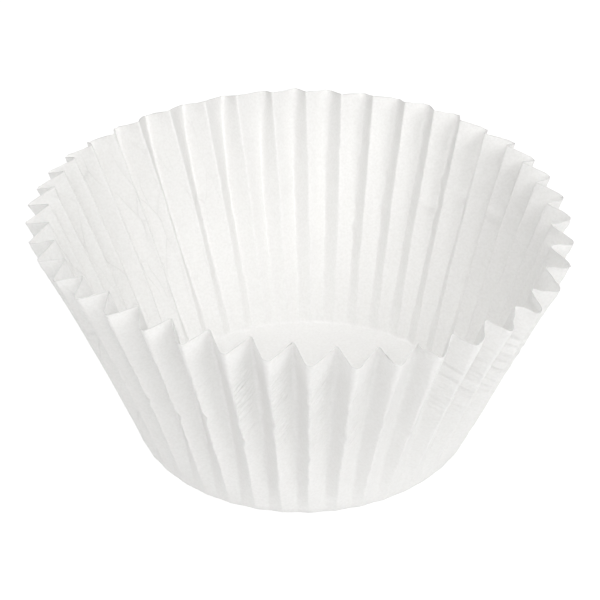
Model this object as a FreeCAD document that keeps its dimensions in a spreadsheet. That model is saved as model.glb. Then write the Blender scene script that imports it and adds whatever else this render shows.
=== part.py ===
# Fluted paper baking cup (cupcake liner), millimetres, +Z up, origin at the
# centre of the underside of the base.
#
# The real cup is one flat paper disc pressed between a fluted punch and die:
#   - the middle stays a smooth flat disc,
#   - a small radius turns it up into the wall,
#   - the wall is gathered into equal flutes that set in just above the base and
#     grow deeper up to the rim, as the disc has more and more paper to spare.
#     Every line up the wall has the same length, since paper does not stretch,
#     so the folds that lean out further end lower and the rim is scalloped.
# It is one piece of one thickness, so it is one solid.
import FreeCAD, Part
import math
import os
import Sketcher

V = FreeCAD.Vector
UP = V(0, 0, 1)
C = Sketcher.Constraint
ORIGIN, AXIS_Y = (-1, 1), -2      # a sketch's origin point and its vertical axis

doc = FreeCAD.newDocument("cupcake_liner")

# ---------------------------------------------------------------- dimensions
sheet = doc.addObject("Spreadsheet::Sheet", "Dimensions")
sheet.Label = "Dimensions"
rows = [
    ("base_dia", 50.8, "base across its sharp corner, 2 in"),
    ("blank_dia", 127.0, "flat paper disc before pressing, 5 in"),
    ("flutes", 42, "flutes round the wall"),
    ("paper", 0.06, "paper thickness"),
    ("paper_level", 0.064, "paper thickness along a level cut through the leaning wall"),
    ("corner_rad", 3.0, "outside radius where the base turns into the wall"),
    ("lean_mean", 19.8, "lean of the wall's middle from upright, degrees"),
    ("lean_out", 22.4, "lean of the outer folds from foot to rim, degrees"),
    ("lean_in", 17.25, "lean of the inner folds from foot to rim, degrees"),
    ("crest_rad", 1.45, "outside radius of an outer fold at the rim"),
    ("valley_rad", 0.6, "outside radius of an inner fold at the rim"),
    ("start_rise", 4.5, "height above the foot where the flutes have set in"),
    ("start_out", 25.8, "lean of the outer folds up to there, degrees"),
    ("start_in", 13.4, "lean of the inner folds up to there, degrees"),
    ("start_crest_rad", 1.0, "outside radius of an outer fold there"),
    ("start_valley_rad", 0.5, "outside radius of an inner fold there"),
    ("crest_part", 0.44, "share of the half flute that the outer fold takes at the foot"),
    ("valley_part", 0.82, "share of the half flute where the inner fold starts at the foot"),
]
for i, (name, value, note) in enumerate(rows, start=1):
    sheet.set("A%d" % i, name)
    sheet.set("B%d" % i, str(value))
    sheet.set("C%d" % i, note)
    sheet.setAlias("B%d" % i, name)
doc.recompute()
D = {name: float(getattr(sheet, name)) for name, _, _ in rows}

# Sizes that follow from the sheet, as expressions for the features to use.
S = "Dimensions."
TURN = "(90 - %slean_mean)" % S                                 # degrees turned by the corner
TAN_LEN = "(%scorner_rad * tan(%s / 2 * 1 deg))" % (S, TURN)    # sharp corner to tangent point
FLAT_R = "(%sbase_dia / 2 - %s)" % (S, TAN_LEN)                 # radius of the flat disc
FOOT_R = "(%sbase_dia / 2 + %s * sin(%slean_mean * 1 deg))" % (S, TAN_LEN, S)
FOOT_Z = "(%s * cos(%slean_mean * 1 deg))" % (TAN_LEN, S)
FOOT_IN = ("(%s + sqrt((%scorner_rad - %spaper) ^ 2 - (%scorner_rad - %s) ^ 2))"
           % (FLAT_R, S, S, S, FOOT_Z))
SLANT = "(%sblank_dia / 2 - %s - %scorner_rad * %s * pi / 180)" % (S, FLAT_R, S, TURN)
TOP_Z = "(%s + %s)" % (FOOT_Z, SLANT)                           # section plane just above the rim
CREST_R = "(%s + %s * tan(%slean_out * 1 deg))" % (FOOT_R, SLANT, S)
VALLEY_R = "(%s + %s * tan(%slean_in * 1 deg))" % (FOOT_R, SLANT, S)
HALF = "(180 / %sflutes * 1 deg)" % S                           # half a flute, as an angle

# The same sizes as numbers: the first shape of each sketch, before its
# dimensions take over.
turn = math.radians(90 - D["lean_mean"])
tan_len = D["corner_rad"] * math.tan(turn / 2)
flat_r = D["base_dia"] / 2 - tan_len
foot_r = D["base_dia"] / 2 + tan_len * math.sin(math.radians(D["lean_mean"]))
foot_z = tan_len * math.cos(math.radians(D["lean_mean"]))
inner_corner = D["corner_rad"] - D["paper"]
foot_in = flat_r + math.sqrt(inner_corner ** 2 - (D["corner_rad"] - foot_z) ** 2)
slant = D["blank_dia"] / 2 - flat_r - D["corner_rad"] * turn
crest_r = foot_r + slant * math.tan(math.radians(D["lean_out"]))
valley_r = foot_r + slant * math.tan(math.radians(D["lean_in"]))
half = math.radians(180.0 / D["flutes"])

# ---------------------------------------------------------------------- body
body = doc.addObject("PartDesign::Body", "Liner")
body.Label = "liner"


def plane(role):
    for f in body.Origin.OriginFeatures:
        if f.Role == role:
            return f
    raise RuntimeError("no origin plane " + role)


def new_sketch(name, role):
    sk = body.newObject("Sketcher::SketchObject", name)
    sk.AttachmentSupport = [(plane(role), "")]
    sk.MapMode = "FlatFace"
    return sk


def size(sk, name, constraint, expression):
    """A named dimension of a sketch, bound to the sheet."""
    k = sk.addConstraint(constraint)
    sk.renameConstraint(k, name)
    sk.setExpression("Constraints." + name, expression)


def arc(centre, radius, start, end):
    return Part.ArcOfCircle(Part.Circle(centre, UP, radius), start, end)


def line(p, q):
    return Part.LineSegment(p, q)


def polar(radius, angle):
    return V(radius * math.cos(angle), radius * math.sin(angle), 0)


# --- base disc and corner, turned about Z ------------------------------------
section = new_sketch("BaseSection", "XZ_Plane")
corner = V(flat_r, D["corner_rad"], 0)
section.addGeometry([
    line(V(0, 0, 0), V(flat_r, 0, 0)),                                       # 0 underside
    arc(corner, D["corner_rad"], -math.pi / 2, -math.radians(D["lean_mean"])),  # 1 outside corner
    line(V(foot_r, foot_z, 0), V(foot_in, foot_z, 0)),                       # 2 level foot of the wall
    arc(corner, inner_corner, -math.pi / 2,
        math.asin((foot_z - D["corner_rad"]) / inner_corner)),               # 3 inside corner
    line(V(flat_r, D["paper"], 0), V(0, D["paper"], 0)),                     # 4 upper side of the base
    line(V(0, D["paper"], 0), V(0, 0, 0)),                                   # 5 axis
], False)
section.addConstraint([
    C("Coincident", 0, 1, *ORIGIN),
    C("Horizontal", 0),
    C("Coincident", 0, 2, 1, 1),
    C("Vertical", 0, 2, 1, 3),
    C("Coincident", 1, 2, 2, 1),
    C("Horizontal", 2),
    C("Coincident", 2, 2, 3, 2),
    C("Coincident", 3, 3, 1, 3),
    C("Coincident", 3, 1, 4, 1),
    C("Vertical", 3, 1, 1, 3),
    C("Horizontal", 4),
    C("Coincident", 4, 2, 5, 1),
    C("Coincident", 5, 2, 0, 1),
    C("PointOnObject", 5, 1, AXIS_Y),
])
size(section, "flat_radius", C("DistanceX", 0, 1, 0, 2, flat_r), FLAT_R)
size(section, "corner_outside", C("Radius", 1, D["corner_rad"]), S + "corner_rad")
size(section, "paper_thickness", C("DistanceY", 5, 2, 5, 1, D["paper"]), S + "paper")
size(section, "foot_height", C("DistanceY", 0, 1, 1, 2, foot_z), FOOT_Z)
doc.recompute()

base = body.newObject("PartDesign::Revolution", "Base")
base.Profile = section
base.ReferenceAxis = (section, ["V_Axis"])
base.Angle = 360.0
doc.recompute()

# --- foot of one flute: a plain ring sector, still without depth -------------
# The cuts part it where the folds start, so that each face of the loft runs
# from its own strip of the foot to its own part of the flute.
cut_in = D["crest_part"] * half
cut_out = D["valley_part"] * half
cuts = [-half, -cut_out, -cut_in, cut_in, cut_out, half]
foot = new_sketch("FluteFoot", "XY_Plane")
foot.setExpression("AttachmentOffset.Base.z", FOOT_Z)
geo = [arc(V(0, 0, 0), foot_r, cuts[j], cuts[j + 1]) for j in range(5)]      # 0-4 outside
geo.append(line(polar(foot_r, half), polar(foot_in, half)))                  # 5 one side
geo += [arc(V(0, 0, 0), foot_in, cuts[j], cuts[j + 1]) for j in (4, 3, 2, 1, 0)]  # 6-10 inside
geo.append(line(polar(foot_in, -half), polar(foot_r, -half)))                # 11 other side
foot.addGeometry(geo, False)
cons = [C("Coincident", j, 3, *ORIGIN) for j in (0, 1, 2, 3, 4, 6, 7, 8, 9, 10)]
for j in range(4):
    cons.append(C("Coincident", j, 2, j + 1, 1))
    cons.append(C("Coincident", 6 + j, 1, 7 + j, 2))
cons += [C("Coincident", 4, 2, 5, 1), C("Coincident", 5, 2, 6, 2),
         C("Coincident", 10, 1, 11, 1), C("Coincident", 11, 2, 0, 1)]
foot.addConstraint(cons)
size(foot, "outside_radius", C("Radius", 0, foot_r), FOOT_R)
size(foot, "inside_radius", C("Radius", 6, foot_in), FOOT_IN)
for tag, share, part in (("side", "1", half), ("valley", S + "valley_part", cut_out),
                         ("crest", S + "crest_part", cut_in)):
    # end points at +angle: arcs 4, 3, 2 outside and 6, 7, 8 inside;
    # start points at -angle: arcs 0, 1, 2 outside and 10, 9, 8 inside
    k = ("side", "valley", "crest").index(tag)
    angle = "%s * %s" % (share, HALF)
    size(foot, tag + "_out_plus", C("DistanceY", -1, 1, 4 - k, 2, foot_r * math.sin(part)),
         "%s * sin(%s)" % (FOOT_R, angle))
    size(foot, tag + "_out_minus", C("DistanceY", k, 1, -1, 1, foot_r * math.sin(part)),
         "%s * sin(%s)" % (FOOT_R, angle))
    size(foot, tag + "_in_plus", C("DistanceY", -1, 1, 6 + k, 2, foot_in * math.sin(part)),
         "%s * sin(%s)" % (FOOT_IN, angle))
    size(foot, tag + "_in_minus", C("DistanceY", 10 - k, 1, -1, 1, foot_in * math.sin(part)),
         "%s * sin(%s)" % (FOOT_IN, angle))

# --- level sections through the same flute ------------------------------------
# A wide round outer fold on the X axis, two straight flanks, and half of a
# tighter inner fold at each side. Both faces of the paper share the centres of
# the folds, one paper thickness apart.
def flute_section(name, height, crest, valley, crest_rad, valley_rad):
    """height, crest and valley are (number, expression); the radii are cells."""
    (_, z_expr), (crest_r, crest_expr), (valley_r, valley_expr) = height, crest, valley
    sk = new_sketch(name, "XY_Plane")
    sk.setExpression("AttachmentOffset.Base.z", z_expr)
    tk = D["paper_level"]
    r_out, r_in = D[crest_rad], D[valley_rad]
    centre_out = V(crest_r - r_out, 0, 0)
    centre_up = polar(valley_r + r_in, half)
    centre_dn = polar(valley_r + r_in, -half)
    gap = centre_up - centre_out
    u = V(gap.x, gap.y, 0) * (1.0 / gap.Length)
    side = V(u.y, -u.x, 0)
    c = (r_out + r_in) / gap.Length
    n = u * c + side * math.sqrt(1 - c * c)
    m = V(n.x, -n.y, 0)
    beta = math.atan2(n.y, n.x)                 # the outer fold turns from -beta to beta

    def skin(r_crest, r_valley):
        """One face of the paper: inner fold, flank, outer fold, flank, inner fold."""
        return [
            arc(centre_dn, r_valley, math.pi - beta, math.pi - half),
            line(centre_dn - m * r_valley, centre_out + m * r_crest),
            arc(centre_out, r_crest, -beta, beta),
            line(centre_out + n * r_crest, centre_up - n * r_valley),
            arc(centre_up, r_valley, math.pi + half, math.pi + beta),
        ]

    geo = skin(r_out, r_in) + [line(polar(valley_r, half), polar(valley_r - tk, half))]       # 0-5
    geo += skin(r_out - tk, r_in + tk) + [line(polar(valley_r - tk, -half), polar(valley_r, -half))]
    sk.addGeometry(geo, False)
    for o in (0, 6):
        sk.addConstraint([
            C("Tangent", o, 1, o + 1, 1),
            C("Tangent", o + 1, 2, o + 2, 1),
            C("Tangent", o + 2, 2, o + 3, 1),
            C("Tangent", o + 3, 2, o + 4, 2),
        ])
    sk.addConstraint([
        C("Coincident", 4, 1, 5, 1), C("Coincident", 5, 2, 10, 1),
        C("Coincident", 6, 2, 11, 1), C("Coincident", 11, 2, 0, 2),
        C("PointOnObject", 2, 3, -1),
        C("Coincident", 6, 3, 0, 3), C("Coincident", 8, 3, 2, 3), C("Coincident", 10, 3, 4, 3),
    ])
    crest_cell, valley_cell = S + crest_rad, S + valley_rad
    thick = S + "paper_level"
    centre = "(%s + %s)" % (valley_expr, valley_cell)
    size(sk, "crest_radius", C("Radius", 2, r_out), crest_cell)
    size(sk, "crest_centre", C("DistanceX", -1, 1, 2, 3, centre_out.x), "%s - %s" % (crest_expr, crest_cell))
    size(sk, "valley_radius_a", C("Radius", 0, r_in), valley_cell)
    size(sk, "valley_radius_b", C("Radius", 4, r_in), valley_cell)
    size(sk, "crest_inside", C("Radius", 8, r_out - tk), "%s - %s" % (crest_cell, thick))
    size(sk, "valley_inside_a", C("Radius", 6, r_in + tk), "%s + %s" % (valley_cell, thick))
    size(sk, "valley_inside_b", C("Radius", 10, r_in + tk), "%s + %s" % (valley_cell, thick))
    size(sk, "valley_x_a", C("DistanceX", -1, 1, 0, 3, centre_dn.x), "%s * cos(%s)" % (centre, HALF))
    size(sk, "valley_x_b", C("DistanceX", -1, 1, 4, 3, centre_up.x), "%s * cos(%s)" % (centre, HALF))
    size(sk, "valley_y_a", C("DistanceY", 0, 3, -1, 1, centre_up.y), "%s * sin(%s)" % (centre, HALF))
    size(sk, "valley_y_b", C("DistanceY", -1, 1, 4, 3, centre_up.y), "%s * sin(%s)" % (centre, HALF))
    end, end_in = valley_r * math.sin(half), (valley_r - tk) * math.sin(half)
    size(sk, "end_y_a", C("DistanceY", 0, 2, -1, 1, end), "%s * sin(%s)" % (valley_expr, HALF))
    size(sk, "end_y_b", C("DistanceY", -1, 1, 4, 1, end), "%s * sin(%s)" % (valley_expr, HALF))
    size(sk, "end_in_y_a", C("DistanceY", 6, 2, -1, 1, end_in), "(%s - %s) * sin(%s)" % (valley_expr, thick, HALF))
    size(sk, "end_in_y_b", C("DistanceY", -1, 1, 10, 1, end_in), "(%s - %s) * sin(%s)" % (valley_expr, thick, HALF))
    return sk


def leaning(rise, lean):
    """Radius after a rise from the foot at a lean."""
    return foot_r + rise * math.tan(math.radians(lean))


# A little above the foot: the flutes set in quickly, because the disc already
# has spare paper to take up there.
start = flute_section(
    "FluteStart",
    (foot_z + D["start_rise"], "%s + %sstart_rise" % (FOOT_Z, S)),
    (leaning(D["start_rise"], D["start_out"]),
     "(%s + %sstart_rise * tan(%sstart_out * 1 deg))" % (FOOT_R, S, S)),
    (leaning(D["start_rise"], D["start_in"]),
     "(%s + %sstart_rise * tan(%sstart_in * 1 deg))" % (FOOT_R, S, S)),
    "start_crest_rad", "start_valley_rad")
# Just above the rim.
rim = flute_section("FluteRim", (foot_z + slant, TOP_Z), (crest_r, CREST_R), (valley_r, VALLEY_R),
                    "crest_rad", "valley_rad")
doc.recompute()

flute = body.newObject("PartDesign::AdditiveLoft", "Flute")
flute.Profile = foot
flute.Sections = [start, rim]
flute.Ruled = True
flute.Closed = False
doc.recompute()

# --- all the flutes ----------------------------------------------------------
ring = body.newObject("PartDesign::PolarPattern", "Flutes")
ring.Originals = [flute]
ring.Axis = (section, ["V_Axis"])
ring.Angle = 360.0
ring.setExpression("Occurrences", S + "flutes")
body.Tip = ring
doc.recompute()
v_untrimmed = ring.Shape.Volume

# --- rim: the edge of the flat disc ------------------------------------------
# All the wall has one length from the corner, so its edge lies on the surface
# swept by an arc of that radius about the foot. What stands past it goes.
edge = new_sketch("RimEdge", "XZ_Plane")
pivot = V(foot_r, foot_z, 0)
lo, hi = math.radians(45), math.radians(80)     # from level
reach = slant + 6.0


def at(radius, angle):
    return pivot + V(radius * math.cos(angle), radius * math.sin(angle), 0)


edge.addGeometry([
    arc(pivot, slant, lo, hi),
    line(at(slant, hi), at(reach, hi)),
    arc(pivot, reach, lo, hi),
    line(at(reach, lo), at(slant, lo)),
], False)
edge.addConstraint([
    C("Coincident", 0, 2, 1, 1), C("Coincident", 1, 2, 2, 2),
    C("Coincident", 2, 1, 3, 1), C("Coincident", 3, 2, 0, 1),
    C("Coincident", 0, 3, 2, 3),
])
size(edge, "pivot_x", C("DistanceX", -1, 1, 0, 3, foot_r), FOOT_R)
size(edge, "pivot_y", C("DistanceY", -1, 1, 0, 3, foot_z), FOOT_Z)
size(edge, "wall_length", C("Radius", 0, slant), SLANT)
size(edge, "cut_reach", C("Radius", 2, reach), SLANT + " + 6")
size(edge, "start_y", C("DistanceY", 0, 3, 0, 1, slant * math.sin(lo)), SLANT + " * sin(45 deg)")
size(edge, "end_y", C("DistanceY", 0, 3, 0, 2, slant * math.sin(hi)), SLANT + " * sin(80 deg)")
size(edge, "start_far_y", C("DistanceY", 0, 3, 2, 1, reach * math.sin(lo)), "(%s + 6) * sin(45 deg)" % SLANT)
size(edge, "end_far_y", C("DistanceY", 0, 3, 2, 2, reach * math.sin(hi)), "(%s + 6) * sin(80 deg)" % SLANT)
doc.recompute()

trim = body.newObject("PartDesign::Groove", "RimTrim")
trim.Profile = edge
trim.ReferenceAxis = (edge, ["V_Axis"])
trim.Angle = 360.0
trim.Refine = False
body.Tip = trim
doc.recompute()

# -------------------------------------------------------------------- checks
bad = [o.Name for o in doc.Objects if any(s in ("Invalid", "Error") for s in o.State)]
if bad:
    raise RuntimeError("failed objects: " + ", ".join(bad))
shape = body.Shape
if shape.isNull() or not shape.isValid():
    raise RuntimeError("liner: the shape is null or not valid")
if len(shape.Solids) != 1:
    raise RuntimeError("liner: %d solids, not one" % len(shape.Solids))
if not shape.Volume < v_untrimmed - 1.0:
    raise RuntimeError("the rim trim cut nothing")
blank = math.pi * (D["blank_dia"] / 2) ** 2 * D["paper"]
bb = shape.BoundBox
print("volume %.1f mm3, flat disc %.1f mm3" % (shape.Volume, blank))
print("box x %.3f..%.3f y %.3f..%.3f z %.3f..%.3f" % (bb.XMin, bb.XMax, bb.YMin, bb.YMax, bb.ZMin, bb.ZMax))
print("faces %d" % len(shape.Faces))

os.makedirs("parts", exist_ok=True)
for piece in (body,):
    piece.Shape.exportStep("parts/%s.step" % piece.Label)
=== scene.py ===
import math

import bpy
import numpy as np
from mathutils import Matrix, Vector


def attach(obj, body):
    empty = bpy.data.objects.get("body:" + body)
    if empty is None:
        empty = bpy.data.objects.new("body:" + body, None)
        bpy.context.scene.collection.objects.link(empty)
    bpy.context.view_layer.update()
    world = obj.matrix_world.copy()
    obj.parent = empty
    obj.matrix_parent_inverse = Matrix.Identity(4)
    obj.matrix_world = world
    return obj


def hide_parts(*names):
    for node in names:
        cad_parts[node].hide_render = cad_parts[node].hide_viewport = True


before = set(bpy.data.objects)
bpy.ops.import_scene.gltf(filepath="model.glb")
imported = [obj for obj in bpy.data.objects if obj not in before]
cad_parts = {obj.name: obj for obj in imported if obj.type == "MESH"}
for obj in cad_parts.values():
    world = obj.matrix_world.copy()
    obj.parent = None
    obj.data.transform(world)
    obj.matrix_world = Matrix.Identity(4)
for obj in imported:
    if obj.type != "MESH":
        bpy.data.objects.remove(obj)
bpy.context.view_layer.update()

RNG = np.random.default_rng(42)
MM = 0.001

# ----------------------------------------------------------------------------
# The paper cup. One disc of paper: flat middle, small corner, fluted wall.
# All lengths below are in millimetres.
# ----------------------------------------------------------------------------
BASE_R = 25.4          # base radius across the sharp corner
BLANK_R = 63.5         # the flat disc's radius
CORNER = 3.0           # radius of the turn from base to wall
PAPER = 0.06           # paper thickness
LEAN = math.radians(20.05)
TAN = CORNER * math.tan((math.pi / 2 - LEAN) / 2)
FLAT_R = BASE_R - TAN
FOOT_R = BASE_R + TAN * math.sin(LEAN)
FOOT_Z = TAN * math.cos(LEAN)
SLANT = BLANK_R - FLAT_R - CORNER * (math.pi / 2 - LEAN)

# Fold by fold: direction round the axis and lean from upright (degrees), and how
# much the rim stands past (+) or short of (-) the mean edge (mm).
OUT_DIR = [141.5, 149.4, 157.1, 164.5, 172.2, 180.5, 189.2, 197.8, 206.9, 216.0, 225.4, 235.2, 244.5, 254.0,
           262.7, 271.1, 279.8, 288.0, 296.0, 304.4, 312.6, 321.0, 329.1, 337.6, 346.2, 355.2, 364.0, 373.1,
           381.8, 390.7, 400.4, 409.8, 418.6, 426.8, 434.9, 443.4, 450.8, 458.0, 466.9, 476.0, 485.0, 493.2]
OUT_LEAN = [26.7, 26.2, 25.5, 24.5, 23.5, 22.6, 21.7, 20.6, 19.7, 19.1, 18.5, 18.0, 18.5, 18.9,
            19.7, 20.8, 22.0, 22.8, 23.6, 24.0, 24.1, 24.5, 23.9, 23.0, 21.9, 20.7, 20.2, 19.6,
            19.7, 20.0, 20.1, 20.8, 21.9, 23.0, 24.1, 25.0, 25.8, 26.3, 26.8, 27.2, 27.3, 27.0]
OUT_EDGE = [-0.21, -0.11, -0.13, -0.18, -0.08, -0.03, -0.17, 0.08, -0.10, 0.07, 0.04, -0.07, -0.10, 0.06,
            0.11, 0.04, -0.18, -0.14, -0.27, -0.07, -0.22, -0.07, -0.04, 0.05, -0.12, -0.01, -0.13, -0.11,
            -0.21, -0.10, -0.35, -0.07, 0.07, -0.08, -0.03, 0.20, 0.43, 0.24, 0.22, 0.03, -0.03, -0.16]
IN_DIR = [145.1, 153.2, 160.4, 168.0, 176.1, 184.6, 193.3, 202.1, 211.3, 220.7, 230.2, 239.5, 249.0, 258.6,
          267.7, 276.6, 285.0, 293.1, 300.7, 309.0, 317.2, 324.9, 333.2, 341.6, 350.5, 359.4, 368.6, 377.7,
          386.4, 395.7, 405.2, 414.0, 422.7, 431.4, 439.4, 447.9, 455.4, 463.1, 471.0, 480.2, 489.0, 497.0]
IN_LEAN = [19.8, 19.5, 18.5, 18.0, 17.1, 16.4, 15.4, 15.1, 14.1, 13.3, 13.0, 13.0, 13.3, 13.8,
           14.8, 16.2, 17.6, 18.6, 19.1, 19.5, 20.0, 19.8, 18.4, 17.6, 16.2, 15.4, 14.5, 14.1,
           14.4, 14.7, 15.7, 17.0, 18.2, 19.4, 20.4, 21.2, 21.7, 21.9, 21.7, 21.4, 21.0, 20.3]
IN_EDGE = [0.53, 0.46, 0.36, 0.34, 0.21, 0.15, 0.20, 0.11, 0.06, -0.04, 0.02, 0.02, -0.02, 0.13,
           0.19, 0.13, 0.12, 0.16, 0.20, 0.24, 0.13, -0.19, -0.09, -0.22, -0.32, -0.24, -0.04, 0.32,
           0.59, 0.15, 0.15, 0.06, 0.06, 0.01, -0.28, -0.04, 0.01, 0.11, 0.15, 0.16, 0.19, 0.21]
N = len(OUT_DIR)
out_dir, in_dir = np.radians(OUT_DIR), np.radians(IN_DIR)
out_lean, in_lean = np.radians(OUT_LEAN), np.radians(IN_LEAN)
out_edge, in_edge = np.array(OUT_EDGE), np.array(IN_EDGE)


def smooth_ring(v, passes=6):
    v = np.array(v, float)
    for _ in range(passes):
        v = 0.25 * np.roll(v, 1) + 0.5 * v + 0.25 * np.roll(v, -1)
    return v


# The wall's own lean round the cup, without the flutes.
mid_lean = smooth_ring((out_lean + 0.5 * (in_lean + np.roll(in_lean, 1))) / 2, 8)
depth_out = out_lean - mid_lean                      # half depth of each fold, as an angle
mid_at_in = 0.5 * (mid_lean + np.roll(mid_lean, -1))
depth_in = in_lean - mid_at_in


# ---- noise helpers, all seeded ----------------------------------------------
def line_noise(n_lines, s, scale, rng):
    """Smooth noise along s (mm) for each of n_lines folds, about unit size."""
    knots = np.arange(-2, int(s.max() / scale) + 4)
    vals = rng.normal(size=(n_lines, len(knots)))
    x = s / scale
    i = np.floor(x).astype(int)
    f = x - i
    f = f * f * (3 - 2 * f)
    i = np.clip(i + 2, 0, len(knots) - 2)
    return vals[:, i] * (1 - f) + vals[:, i + 1] * f


class Noise3:
    """Value noise in space."""

    def __init__(self, seed):
        self.t = np.random.default_rng(seed).normal(size=(32, 32, 32))

    def __call__(self, p):
        i = np.floor(p).astype(int)
        f = p - i
        f = f * f * f * (f * (f * 6 - 15) + 10)
        out = 0
        for a in (0, 1):
            for b in (0, 1):
                for c in (0, 1):
                    w = (f[..., 0] if a else 1 - f[..., 0]) * (f[..., 1] if b else 1 - f[..., 1]) * (f[..., 2] if c else 1 - f[..., 2])
                    out = out + w * self.t[(i[..., 0] + a) % 32, (i[..., 1] + b) % 32, (i[..., 2] + c) % 32]
        return out


# ---- cross-section of half a flute --------------------------------------------
CREST_SEG, FLANK_SEG, VALLEY_SEG = 3, 3, 2
HALF_SEG = CREST_SEG + FLANK_SEG + VALLEY_SEG        # 8 segments from crest to valley
PER_FLUTE = 2 * HALF_SEG                             # 16 columns a flute


def half_section(T, d, ro, ri):
    """Arc, straight, arc from the crest (0, d) to the valley (T, 0), for arrays.
    Returns across and depth, each with a last axis of HALF_SEG + 1 points."""
    lim = 0.93 * (T * T + d * d) / (2 * np.maximum(d, 1e-4))
    k = np.minimum(1.0, lim / (ro + ri))
    ro, ri = ro * k, ri * k
    vx, vy = T, ri - (d - ro)                         # crest arc's centre to the valley arc's
    L = np.hypot(vx, vy)
    c = (ro + ri) / L
    ux, uy = vx / L, vy / L
    q = np.sqrt(np.maximum(0, 1 - c * c))
    nx, ny = ux * c - uy * q, uy * c + ux * q         # the straight flank's outer normal
    beta = np.clip(np.arctan2(nx, ny), 0.02, 1.9)     # its angle from straight out
    xs, ys = [], []
    for j in range(CREST_SEG + 1):
        a = beta * j / CREST_SEG
        xs.append(ro * np.sin(a)); ys.append(d - ro + ro * np.cos(a))
    x0, y0 = xs[-1], ys[-1]
    x1, y1 = T - ri * np.sin(beta), ri - ri * np.cos(beta)
    for j in range(1, FLANK_SEG + 1):
        f = j / FLANK_SEG
        xs.append(x0 + (x1 - x0) * f); ys.append(y0 + (y1 - y0) * f)
    for j in range(1, VALLEY_SEG + 1):
        a = beta * (1 - j / VALLEY_SEG)
        xs.append(T - ri * np.sin(a)); ys.append(ri - ri * np.cos(a))
    return np.stack(xs, -1), np.stack(ys, -1)


# ---- rows up the sheet ----------------------------------------------------------
WALL_ROWS = 64
CORNER_ROWS = 6
s_wall = np.append(np.linspace(0, SLANT - 0.09, WALL_ROWS), SLANT)   # 0 at the foot
# Depth of the flutes against slant: they set in quickly, then grow evenly.
G_S = np.array([0.0, 2.0, 5.0, 10.0, 20.0, 30.0, SLANT])
g_out = np.interp(s_wall, G_S, [0.065, 0.15, 0.285, 0.45, 0.685, 0.885, 1.0])
g_in = np.interp(s_wall, G_S, [0.090, 0.185, 0.315, 0.465, 0.69, 0.885, 1.0])


def near(direction, centre, half, soft):
    """1 within half of a direction (degrees), easing to 0 over soft."""
    d = np.abs((np.degrees(direction) - centre + 180) % 360 - 180)
    t = np.clip((half + soft - d) / soft, 0, 1)
    return t * t * (3 - 2 * t)


# Radii of the folds against slant. The outer ones are pressed sharp low down and open
# into round lobes towards the rim, most at the back right where the paper has relaxed;
# the inner ones are a little softer at the front.
RAD_S = [0, 6, 14, 24, 30, 34, SLANT]
zones = [  # centre, half width, softness (degrees), outer radii, inner radii
    (257, 42, 25, [0.40, 0.30, 0.26, 0.30, 0.48, 0.72, 0.85], [0.50, 0.45, 0.55, 0.70, 0.62, 0.48, 0.36]),
    (324, 18, 14, [0.40, 0.35, 0.35, 0.50, 0.70, 0.78, 0.80], [0.40, 0.35, 0.36, 0.42, 0.50, 0.68, 0.85]),
    (32, 58, 25, [0.38, 0.36, 0.39, 0.51, 0.72, 0.90, 1.00], [0.40, 0.32, 0.28, 0.25, 0.24, 0.24, 0.24]),
    (155, 52, 25, [0.32, 0.31, 0.32, 0.34, 0.38, 0.45, 0.50], [0.40, 0.32, 0.27, 0.25, 0.25, 0.25, 0.25]),
]


def blend(directions, which):
    total, weight = 0.0, 1e-6
    for centre, half, soft, *radii in zones:
        w = near(directions, centre, half, soft)[:, None] + 1e-4
        total = total + w * np.interp(s_wall, RAD_S, radii[which])[None]
        weight = weight + w
    return total / weight


ro_fold = blend(out_dir, 0)
ri_fold = blend(in_dir, 1)

# Even pitch at the base, the measured directions at the rim.
even = np.radians(360.0 / N)
phase = np.angle(np.mean(np.exp(1j * (out_dir - np.arange(N) * even))))
even_out = phase + np.arange(N) * even
even_out = even_out + 2 * np.pi * np.round((out_dir - even_out) / (2 * np.pi))
frac = (in_dir - out_dir) / (np.roll(out_dir, -1) + np.where(np.arange(N) == N - 1, 2 * np.pi, 0) - out_dir)
mix = 0.45 + 0.55 * (s_wall / SLANT) ** 0.9
dir_out = even_out[:, None] * (1 - mix) + out_dir[:, None] * mix            # (N, rows)
even_in = even_out + even * (0.5 * 0.4 + frac * 0.6)
dir_in = even_in[:, None] * (1 - mix) + in_dir[:, None] * mix

# The creases are straight, with a fine ragged wander, and here and there a kink.
rng = np.random.default_rng(7)
wander = 0.045 * line_noise(N, s_wall, 7.0, rng) + 0.055 * line_noise(N, s_wall, 1.15, rng)
wander_in = 0.035 * line_noise(N, s_wall, 8.0, rng) + 0.030 * line_noise(N, s_wall, 1.3, rng)
ease = np.clip(s_wall / 4.0, 0, 1) * np.clip((SLANT - s_wall) / 7.0, 0, 1)
kink_depth = np.zeros((N, WALL_ROWS + 1))
for fold, at, size in ((10, 18.5, 0.42), (11, 17.2, 0.50), (11, 20.3, -0.22), (12, 19.6, 0.40), (13, 15.8, 0.34),
                       (13, 23.5, -0.20), (14, 21.0, 0.26), (16, 18.2, 0.30), (17, 20.6, 0.34), (18, 16.5, 0.28),
                       (9, 22.0, 0.30), (15, 13.2, 0.24), (33, 19.5, 0.35), (31, 22.0, -0.30), (34, 15.5, 0.28)):
    hump = np.exp(-((s_wall - at) / 0.75) ** 2)
    wander[fold] += size * hump
    kink_depth[fold] -= 0.5 * abs(size) * hump
radius_mean = FOOT_R + s_wall * math.sin(LEAN)
dir_out = dir_out + wander * ease / radius_mean
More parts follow.
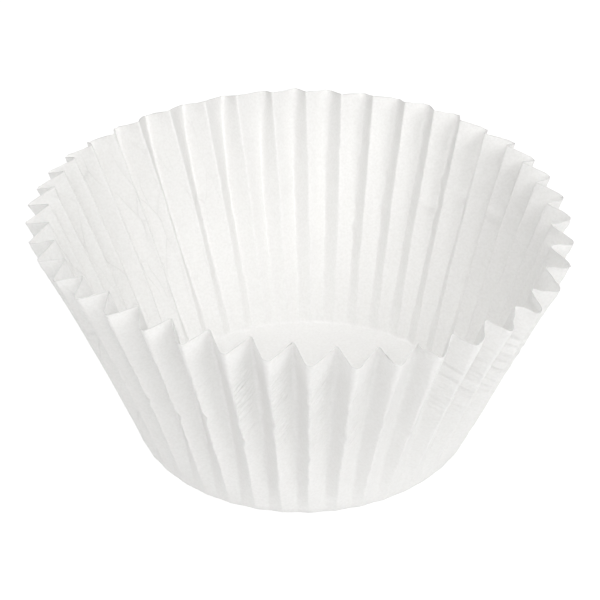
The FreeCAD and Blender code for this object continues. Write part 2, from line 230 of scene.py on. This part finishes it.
# At the back left the flutes run a little towards the left below the rim.
dir_out = dir_out + np.radians(2.2) * near(out_dir, 124, 22, 22)[:, None] * (1 - (s_wall / SLANT) ** 4)
dir_in = dir_in + np.radians(1.4) * near(in_dir, 124, 18, 18)[:, None]
dir_in = dir_in + wander_in * ease / radius_mean
dep_out = 1 + 0.02 * line_noise(N, s_wall, 9.0, rng) * ease
dep_in = 1 + 0.02 * line_noise(N, s_wall, 9.0, rng) * ease

# Offset of the fold lines from the mid wall at every row.
tip_out = depth_out[:, None] * g_out * dep_out * SLANT + kink_depth         # mm, outward (+)
tip_in = depth_in[:, None] * g_in * dep_in * SLANT                         # mm, inward (-)

# ---- the wall's mid surface --------------------------------------------------------
# Columns: for each flute, crest -> valley -> (towards) next crest.
cols_dir = np.zeros((N * PER_FLUTE, WALL_ROWS + 1))
cols_off = np.zeros_like(cols_dir)
for k in range(N):
    k2 = (k + 1) % N
    turn = 2 * np.pi if k2 == 0 else 0.0
    a, b, c = dir_out[k], dir_in[k], dir_out[k2] + turn
    # crest k to valley k
    T = (b - a) * radius_mean
    d = tip_out[k] - tip_in[k]
    x, y = half_section(T, d, ro_fold[k], ri_fold[k])
    base = k * PER_FLUTE
    for j in range(HALF_SEG):
        cols_dir[base + j] = a + x[:, j] / radius_mean
        cols_off[base + j] = tip_in[k] + y[:, j]
    # valley k to crest k+1, mirrored
    T = (c - b) * radius_mean
    d = tip_out[k2] - tip_in[k]
    x, y = half_section(T, d, ro_fold[k2], ri_fold[k])
    for j in range(HALF_SEG):
        q = HALF_SEG - j
        cols_dir[base + HALF_SEG + j] = c - x[:, q] / radius_mean
        cols_off[base + HALF_SEG + j] = tip_in[k] + y[:, q]

M = N * PER_FLUTE
# lean of the mid wall in any direction
ring_dirs = np.concatenate([out_dir - 2 * np.pi, out_dir, out_dir + 2 * np.pi])
ring_lean = np.tile(mid_lean, 3)


def lean_at(direction):
    return np.interp(direction, ring_dirs, ring_lean)


edge_dirs = np.stack([out_dir, in_dir], 1).ravel()
edge_vals = np.stack([out_edge, in_edge], 1).ravel()
edge_dirs3 = np.concatenate([edge_dirs - 2 * np.pi, edge_dirs, edge_dirs + 2 * np.pi])
edge_vals3 = np.tile(edge_vals, 3)
edge = np.interp(cols_dir[:, -1], edge_dirs3, edge_vals3)

# At the back the turn into the base is pressed tighter, and the flutes run down into it.
pressed = near(cols_dir[:, 0], 90, 50, 40)
turn_r = CORNER - 2.35 * pressed
turn_tan = math.tan((math.pi / 2 - LEAN) / 2)
flat_r = BASE_R - turn_r * turn_tan
longer = (CORNER - turn_r) * turn_tan
s_grid = s_wall[None, :] * (1 + longer[:, None] / SLANT)
s_grid = s_grid + edge[:, None] * (s_wall / SLANT) ** 4              # the rim's unevenness is at the rim
nick = np.random.default_rng(5).normal(size=M)
nick = 0.035 * (nick + 0.6 * np.roll(nick, 1))
s_grid[:, -1] += nick
A = lean_at(cols_dir)
foot_r = flat_r[:, None] + turn_r[:, None] * np.cos(A)
foot_z = turn_r[:, None] * (1 - np.sin(A))
cols_off[:, :7] *= 1 + 1.0 * pressed[:, None] * (1 - s_wall[:7] / s_wall[7])
# At both sides of the front they start slowly.
calm = near(cols_dir[:, 0], 212, 24, 14) + near(cols_dir[:, 0], 328, 24, 14)
cols_off[:, :12] *= 1 - 0.45 * calm[:, None] * (1 - s_wall[:12] / s_wall[12])
# The wall is a little hollow between base and rim, most at the left.
bow = (0.45 + 0.16 * np.cos(cols_dir - math.radians(190))) * np.sin(np.pi * (s_wall / SLANT) ** 0.85)
off_all = cols_off - bow
R = foot_r + s_grid * np.sin(A) + off_all * np.cos(A)
Z = foot_z + s_grid * np.cos(A) - off_all * np.sin(A)
wall = np.stack([R * np.cos(cols_dir), R * np.sin(cols_dir), Z], -1)          # (M, rows, 3)

# ---- corner: the flutes die out in it -----------------------------------------------
corner = np.zeros((M, CORNER_ROWS, 3))
a0 = A[:, 0]
for r in range(CORNER_ROWS):
    f = r / CORNER_ROWS                                # 0 at the flat, towards 1 at the foot
    phi = (math.pi / 2) + (a0 - math.pi / 2) * f       # direction of the corner's own normal, down from level
    off = cols_off[:, 0] * f ** (1.3 - 0.8 * pressed)
    rr = flat_r + (turn_r + off) * np.cos(phi)
    zz = turn_r - (turn_r + off) * np.sin(phi)
    zz = np.maximum(zz, 0.0)
    dd = cols_dir[:, 0]
    corner[:, r] = np.stack([rr * np.cos(dd), rr * np.sin(dd), zz], -1)

sheet = np.concatenate([corner, wall], 1)                 # (M, CORNER_ROWS + WALL_ROWS + 1, 3)
ROWS = sheet.shape[1]

# ---- creases and crumples of the paper ------------------------------------------------
n1, n2, n3 = Noise3(11), Noise3(12), Noise3(13)


def grid_normals(g):
    du = np.roll(g, -1, 0) - np.roll(g, 1, 0)
    dv = np.empty_like(g)
    dv[:, 1:-1] = g[:, 2:] - g[:, :-2]
    dv[:, 0] = g[:, 1] - g[:, 0]
    dv[:, -1] = g[:, -1] - g[:, -2]
    n = np.cross(du, dv)
    return n / np.maximum(np.linalg.norm(n, axis=-1, keepdims=True), 1e-9)


nrm = grid_normals(sheet)                                 # points out of the cup
row_s = np.concatenate([np.linspace(-CORNER * 1.2, 0, CORNER_ROWS + 1)[:-1], s_wall])
fade = np.clip((row_s + 1.5) / 4.0, 0, 1)
dir_grid = np.concatenate([np.repeat(cols_dir[:, :1], CORNER_ROWS, 1), cols_dir], 1)
S_grid = np.tile(row_s, (M, 1))
# place across each flute: 0 at a crest, 1 at the valley after it, 2 at the next crest
place = np.tile((np.arange(M) % PER_FLUTE) / HALF_SEG, (ROWS, 1)).T


def band(v, lo, hi, soft):
    t = np.clip((v - lo) / soft, 0, 1) * np.clip((hi - v) / soft, 0, 1)
    return t * t * (3 - 2 * t)


flat_u = dir_grid * 38.0
# stress wrinkles on the flanks that face right at the front, crumples at the front
# right, long hair-line creases at the left
stress = near(dir_grid, 277, 24, 12) * band(S_grid, 13, 35, 5) * band(place, 0.0, 0.80, 0.22)
crush = near(dir_grid, 317, 11, 13) * band(S_grid, 14, 34, 6)
hair = near(dir_grid, 165, 42, 20) * band(S_grid, 6, 37, 4)
cross = np.stack([flat_u / 4.0, S_grid / 1.05, 0 * S_grid + 0.7], -1)
diag = np.stack([(flat_u - S_grid) / 0.85, (flat_u + S_grid) / 6.0, 0 * S_grid + 9.1], -1)
crumple = 0.006 * n2(sheet / 5.0) + 0.002 * n3(sheet / 1.6)
ragged = (near(dir_grid, 322, 32, 14) + 0.55 * near(dir_grid, 190, 28, 14)) * np.clip((S_grid - 33.5) / 3.5, 0, 1)
crumple = crumple + 0.085 * crush * n1(cross) + 0.020 * stress * n2(diag) + 0.22 * ragged * n3(sheet / 1.3)


def pleat(a0, s0, a1, s1, width, height):
    """A short ridge from one place (direction in degrees, slant in mm) to another."""
    r = FOOT_R + 0.5 * (s0 + s1) * math.sin(LEAN)
    u = np.radians((np.degrees(dir_grid) - a0 + 180) % 360 - 180) * r
    du, dv = math.radians(a1 - a0) * r, s1 - s0
    t = np.clip((u * du + (S_grid - s0) * dv) / (du * du + dv * dv), 0, 1)
    return height * np.exp(-((u - t * du) ** 2 + (S_grid - s0 - t * dv) ** 2) / width ** 2)


# single small creases: two by the base at the front, a few inside at the right
for one in ((263.0, 8.6, 260.4, 4.6, 0.50, 0.26), (271.8, 2.6, 278.5, 1.2, 0.50, 0.18),
            (48.8, 26.5, 45.6, 25.0, 0.55, -0.24), (40.8, 25.6, 37.3, 23.9, 0.55, -0.22), (26.3, 26.3, 23.0, 25.2, 0.50, -0.22),
            (56.2, 26.6, 54.0, 26.0, 0.55, 0.18), (241.0, 15.6, 243.4, 14.6, 0.50, 0.16), (226.0, 19.0, 228.6, 18.2, 0.50, 0.16)):
    crumple = crumple + pleat(*one)
sheet = sheet + nrm * (crumple * fade[None, :])[..., None]

# ---- base disc ------------------------------------------------------------------------
nb = Noise3(21)


def disc_height(x, y):
    p = np.stack([x / 9.0, y / 9.0, 0 * x + 3.3], -1)
    r = np.hypot(x, y)
    w = np.clip((FLAT_R - r) / 4.0, 0, 1)
    return np.maximum(0.0, 0.10 + 0.10 * nb(p)) * w


verts, faces = [], []


def add(points):
    i = len(verts)
    verts.extend(map(tuple, points))
    return list(range(i, i + len(points)))


nrm = grid_normals(sheet)
outer = sheet
inner = sheet - nrm * PAPER
inner[:, 0] = outer[:, 0] + np.array([0, 0, PAPER])       # over the flat edge
outer_id = [add(outer[:, r]) for r in range(ROWS)]
inner_id = [add(inner[:, r]) for r in range(ROWS)]


def strip(a, b, flip=False):
    """Quads between two rings of the same count."""
    n = len(a)
    for i in range(n):
        j = (i + 1) % n
        q = (a[i], a[j], b[j], b[i])
        faces.append(q[::-1] if flip else q)


def thin(a, b, up):
    """Triangles between a ring and an inner one with a whole fraction of its points."""
    k = len(a) // len(b)
    h = k // 2
    for i in range(len(b)):
        j = (i + 1) % len(b)
        p = [a[(k * i + m) % len(a)] for m in range(k + 1)]
        tris = [(b[i], p[m], p[m + 1]) for m in range(h)]
        tris.append((b[i], p[h], b[j]))
        tris += [(b[j], p[m], p[m + 1]) for m in range(h, k)]
        faces.extend(tris if up else [t[::-1] for t in tris])


for r in range(ROWS - 1):
    strip(outer_id[r], outer_id[r + 1])
    strip(inner_id[r], inner_id[r + 1], flip=True)
strip(outer_id[-1], inner_id[-1])                          # the cut edge of the rim


def disc(first, up):
    """Close the flat middle: rings towards the centre with fewer and fewer points."""
    ring_id = first
    dirs = cols_dir[:, 0].copy()
    lift = PAPER if up else 0.0
    for radius, part in ((22.2, 2), (20.8, 1), (19.2, 2), (17.2, 1), (15.0, 1), (12.6, 1),
                         (10.4, 3), (8.2, 1), (6.0, 1), (4.0, 1), (2.0, 7)):
        dirs = dirs[::part]
        x, y = radius * np.cos(dirs), radius * np.sin(dirs)
        z = disc_height(x, y) + lift
        new = add(np.stack([x, y, z], -1))
        if part > 1:
            thin(ring_id, new, up)
        else:
            strip(ring_id, new, flip=not up)
        ring_id = new
    z = float(disc_height(np.array([0.0]), np.array([0.0]))[0]) + lift
    c = add([(0, 0, z)])[0]
    n = len(ring_id)
    for i in range(n):
        t = (ring_id[i], ring_id[(i + 1) % n], c)
        faces.append(t if up else t[::-1])


disc(outer_id[0], up=False)
disc(inner_id[0], up=True)

me = bpy.data.meshes.new("paper_cup")
me.from_pydata([(x * MM, y * MM, z * MM) for x, y, z in verts], [], faces)
me.validate()
me.update()
cup = bpy.data.objects.new("paper_cup", me)
bpy.context.scene.collection.objects.link(cup)
for p in me.polygons:
    p.use_smooth = True

# Per-point masks and a flat paper coordinate (mm) for the finest wrinkles.
n_pts = len(me.vertices)
m_stress, m_crush, m_hair = np.zeros(n_pts), np.zeros(n_pts), np.zeros(n_pts)
flat_xy = np.zeros((n_pts, 3))
for ids in (outer_id, inner_id):
    for r in range(ROWS):
        m_stress[ids[r]] = stress[:, r]
        m_crush[ids[r]] = crush[:, r]
        m_hair[ids[r]] = hair[:, r]
        flat_xy[ids[r], 0] = flat_u[:, r]
        flat_xy[ids[r], 1] = S_grid[:, r]
for name, values in (("stress", m_stress), ("crush", m_crush), ("hair", m_hair)):
    at = me.attributes.new(name, "FLOAT", "POINT")
    at.data.foreach_set("value", values.astype(np.float32))
rim_ids = set(outer_id[-1]) | set(inner_id[-1])
cut = np.array([1.0 if sum(v in rim_ids for v in p.vertices) >= 2 else 0.0 for p in me.polygons], np.float32)
at = me.attributes.new("cut", "FLOAT", "FACE")
at.data.foreach_set("value", cut)
at = me.attributes.new("flat", "FLOAT_VECTOR", "POINT")
at.data.foreach_set("vector", flat_xy.astype(np.float32).ravel())

# ----------------------------------------------------------------------------
# Paper: white greaseproof, faintly warm, a little light comes through it.
# ----------------------------------------------------------------------------
mat = bpy.data.materials.new("white_paper")
mat.use_nodes = True
nt = mat.node_tree
nt.nodes.clear()
new = nt.nodes.new
link = nt.links.new
out = new("ShaderNodeOutputMaterial")
mixs = new("ShaderNodeMixShader")
mixs.inputs[0].default_value = 0.38
pb = new("ShaderNodeBsdfPrincipled")
pb.inputs["Roughness"].default_value = 0.62
pb.inputs["Specular IOR Level"].default_value = 0.35
tr = new("ShaderNodeBsdfTranslucent")
coord = new("ShaderNodeTexCoord")


def attribute(name):
    n = new("ShaderNodeAttribute")
    n.attribute_name = name
    return n


def math_node(op, a, b=None):
    n = new("ShaderNodeMath")
    n.operation = op
    for i, v in enumerate((a, b)):
        if v is None:
            continue
        if isinstance(v, (int, float)):
            n.inputs[i].default_value = v
        else:
            link(v, n.inputs[i])
    return n.outputs[0]


def noise(vector, scale, detail=2.0, rough=0.5):
    n = new("ShaderNodeTexNoise")
    n.inputs["Scale"].default_value = scale
    n.inputs["Detail"].default_value = detail
    n.inputs["Roughness"].default_value = rough
    link(vector, n.inputs["Vector"])
    return n


def placed(vector, scale, angle=0.0):
    n = new("ShaderNodeMapping")
    n.vector_type = "POINT"
    n.inputs["Scale"].default_value = scale
    if angle:
        turn = new("ShaderNodeVectorRotate")
        turn.rotation_type = "Z_AXIS"
        turn.inputs["Angle"].default_value = math.radians(angle)
        link(vector, turn.inputs["Vector"])
        vector = turn.outputs[0]
    link(vector, n.inputs["Vector"])
    return n.outputs[0]


paper_xy = attribute("flat").outputs["Vector"]
# colour: very fine pulp mottling; hair-line creases darkened as painted shade; cut edge greyer
mottle = noise(coord.outputs["Object"], 2600.0, 1.0, 0.55)
ramp = new("ShaderNodeValToRGB")
ramp.color_ramp.elements[0].position = 0.32
ramp.color_ramp.elements[0].color = (0.880, 0.876, 0.866, 1)
ramp.color_ramp.elements[1].position = 0.66
ramp.color_ramp.elements[1].color = (0.920, 0.917, 0.909, 1)
link(mottle.outputs["Fac"], ramp.inputs["Fac"])

# long thin creases: the borders of stretched cells
warp = noise(placed(paper_xy, (0.35, 0.12, 1)), 1.0, 1.0, 0.5)
bent = new("ShaderNodeVectorMath")
bent.operation = "MULTIPLY_ADD"
link(warp.outputs["Color"], bent.inputs[0])
bent.inputs[1].default_value = (0.8, 0.5, 0)
link(placed(paper_xy, (0.48, 0.085, 1), 4), bent.inputs[2])
cells = new("ShaderNodeTexVoronoi")
cells.feature = "DISTANCE_TO_EDGE"
cells.inputs["Scale"].default_value = 1.0
link(bent.outputs[0], cells.inputs["Vector"])
hair_line = new("ShaderNodeMapRange")
hair_line.interpolation_type = "SMOOTHSTEP"
hair_line.inputs["From Min"].default_value = 0.0
hair_line.inputs["From Max"].default_value = 0.036
hair_line.inputs["To Min"].default_value = 1.0
hair_line.inputs["To Max"].default_value = 0.0
link(cells.outputs["Distance"], hair_line.inputs["Value"])
gate = new("ShaderNodeMapRange")
gate.inputs["From Min"].default_value = 0.40
gate.inputs["From Max"].default_value = 0.58
link(noise(placed(paper_xy, (0.16, 0.10, 1)), 1.0, 1.0, 0.5).outputs["Fac"], gate.inputs["Value"])
hair_amount = math_node("MULTIPLY", math_node("MULTIPLY", hair_line.outputs[0], gate.outputs[0]), attribute("hair").outputs["Fac"])

# painted shade: the hair-line creases are darkened by up to 5% where shade falls in them; the rim's cut edge is
# darkened by 10%
crease_shade_and_edge_dark = math_node("MAXIMUM", math_node("MULTIPLY", hair_amount, 0.05), math_node("MULTIPLY", attribute("cut").outputs["Fac"], 0.10))
tint = new("ShaderNodeMixRGB")
tint.blend_type = "MIX"
link(crease_shade_and_edge_dark, tint.inputs["Fac"])
link(ramp.outputs["Color"], tint.inputs["Color1"])
tint.inputs["Color2"].default_value = (0.0, 0.0, 0.0, 1)
link(tint.outputs["Color"], pb.inputs["Base Color"])
link(tint.outputs["Color"], tr.inputs["Color"])

# relief, in millimetres
stress_h = math_node("MULTIPLY", math_node("SUBTRACT", noise(placed(paper_xy, (1.9, 0.30, 1), 48), 1.0, 1.0, 0.5).outputs["Fac"], 0.5), math_node("MULTIPLY", attribute("stress").outputs["Fac"], 0.38))
crush_h = math_node("MULTIPLY", math_node("SUBTRACT", noise(placed(paper_xy, (0.42, 0.95, 1), 10), 1.0, 1.0, 0.5).outputs["Fac"], 0.5), math_node("MULTIPLY", attribute("crush").outputs["Fac"], 0.42))
hair_h = math_node("MULTIPLY", hair_amount, -0.030)
height = math_node("ADD", math_node("ADD", stress_h, crush_h), hair_h)
bump = new("ShaderNodeBump")
bump.inputs["Strength"].default_value = 1.0
bump.inputs["Distance"].default_value = 0.001
link(height, bump.inputs["Height"])
link(bump.outputs["Normal"], pb.inputs["Normal"])
link(bump.outputs["Normal"], tr.inputs["Normal"])
link(pb.outputs[0], mixs.inputs[1])
link(tr.outputs[0], mixs.inputs[2])
link(mixs.outputs[0], out.inputs[0])
me.materials.append(mat)

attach(cup, "root")
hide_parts("liner")

# ----------------------------------------------------------------------------
# Floor, light, camera
# ----------------------------------------------------------------------------
bpy.ops.mesh.primitive_plane_add(size=6.0, location=(0, 0, -0.00002))
floor = bpy.context.object
floor.name = "floor"
fm = bpy.data.materials.new("pale_floor")
fm.use_nodes = True
fb = fm.node_tree.nodes["Principled BSDF"]
fb.inputs["Base Color"].default_value = (0.25, 0.25, 0.25, 1)
fb.inputs["Roughness"].default_value = 0.9
fb.inputs["Specular IOR Level"].default_value = 0.0
fb.inputs["Emission Color"].default_value = (1, 1, 1, 1)
fb.inputs["Emission Strength"].default_value = 0.85
floor.data.materials.append(fm)

world = bpy.data.worlds.new("studio")
bpy.context.scene.world = world
world.use_nodes = True
bg = world.node_tree.nodes["Background"]
bg.inputs["Color"].default_value = (1, 1, 1, 1)
bg.inputs["Strength"].default_value = 0.11


def area(name, size, energy, pos, target=(0, 0, 0.015)):
    light = bpy.data.lights.new(name, "AREA")
    light.shape = "DISK"
    light.size = size
    light.energy = energy
    ob = bpy.data.objects.new(name, light)
    bpy.context.scene.collection.objects.link(ob)
    d = Vector(target) - Vector(pos)
    ob.location = pos
    ob.rotation_euler = d.to_track_quat("-Z", "Y").to_euler()
    return ob


def sky(name, azimuth, elevation, energy, size=0.45, distance=0.80):
    a, e = math.radians(azimuth), math.radians(elevation)
    d = Vector((math.cos(a) * math.cos(e), math.sin(a) * math.cos(e), math.sin(e)))
    return area(name, size, energy, tuple(d * distance + Vector((0, 0, 0.015))))


sky("key_right", 315, 38, 3.20, size=0.50)
sky("overhead_front", 270, 64, 1.68)
sky("front", 270, 38, 1.29)
sky("left_front", 230, 38, 0.80)
sky("left_high", 180, 64, 1.04)
sky("left", 180, 38, 0.62)
sky("back_left", 135, 38, 0.40)
sky("right", 10, 26, 0.34)
sky("back_low", 90, 12, 1.60)
sky("back_right_low", 45, 12, 0.50)
sky("front_low", 285, 12, 0.42)

# Camera: from the front, looking down at about 33 degrees, a little tilted.
F_PX, DIST, ELEV, ROLL = 1899.3, 0.2850, math.radians(33.03), math.radians(-1.2835)
AIM = Vector((-0.00040, 0, 0.02104))
back = Vector((0, -math.cos(ELEV), math.sin(ELEV)))
right = Vector((1, 0, 0))
up = back.cross(right)
cam_data = bpy.data.cameras.new("camera")
cam = bpy.data.objects.new("camera", cam_data)
bpy.context.scene.collection.objects.link(cam)
cam_data.sensor_width = 36.0
cam_data.lens = F_PX / 600.0 * 36.0
cam_data.clip_start = 0.01
cam_data.clip_end = 20.0
cam_right = right * math.cos(ROLL) + up * math.sin(ROLL)
cam_up = up * math.cos(ROLL) - right * math.sin(ROLL)
rot = Matrix((cam_right, cam_up, back)).transposed()
cam.matrix_world = Matrix.Translation(AIM + back * DIST) @ rot.to_4x4()
bpy.context.scene.camera = cam

bpy.context.scene.view_settings.view_transform = "Standard"
bpy.context.scene.view_settings.look = "None"
